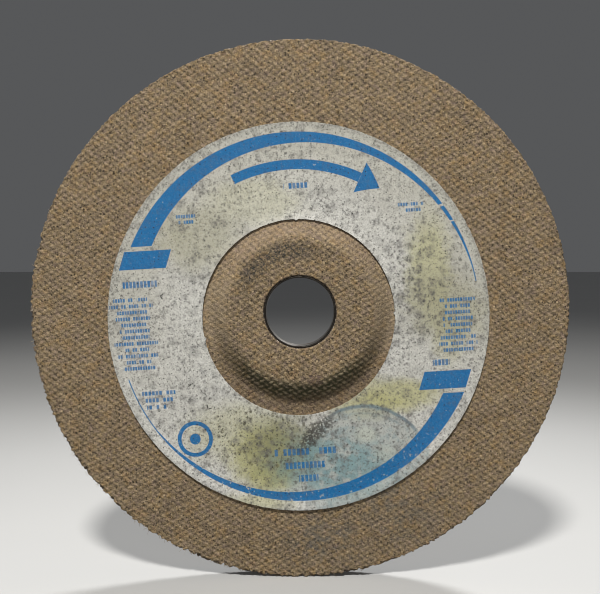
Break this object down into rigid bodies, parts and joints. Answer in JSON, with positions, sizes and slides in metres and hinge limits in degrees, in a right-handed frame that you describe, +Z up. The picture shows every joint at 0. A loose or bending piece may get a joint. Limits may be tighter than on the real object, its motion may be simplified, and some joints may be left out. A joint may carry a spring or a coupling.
{
  "type": "depressed-centre grinding wheel",
  "caption": "Reinforced depressed-centre grinding wheel for an angle grinder: woven glass cloth on resin-bonded grain, raised hub with steel-lined bore, stained round paper label.",
  "frame": {"origin": "middle of the arbor ring's bore, on the wheel's axis", "axes": "+Y along the wheel's axis, out of the recess on the grinding side; -Y out of the raised hub, where the label is; +Z up as the label is read; +X to the right of somebody reading the label"},
  "size_m": [0.1778, 0.0111, 0.1778],
  "materials": {
    "woven_cloth": "coarse glass cloth soaked in tan resin, grimy",
    "grain_and_resin": "coarse brown grain, matt with small glints",
    "label_paper": "aged matt paper, speckled and stained, blue print",
    "worn_steel": "dull stamped steel, scuffed"
  },
  "bodies": {
    "root": {"label": "label_paper", "back_glass_cloth": "woven_cloth", "back_abrasive_layer": "grain_and_resin", "middle_glass_cloth": "woven_cloth", "face_abrasive_layer": "grain_and_resin", "face_glass_cloth": "woven_cloth", "hub_glass_cloth": "woven_cloth", "arbor_ring": "worn_steel"}
  },
  "joints": []
}
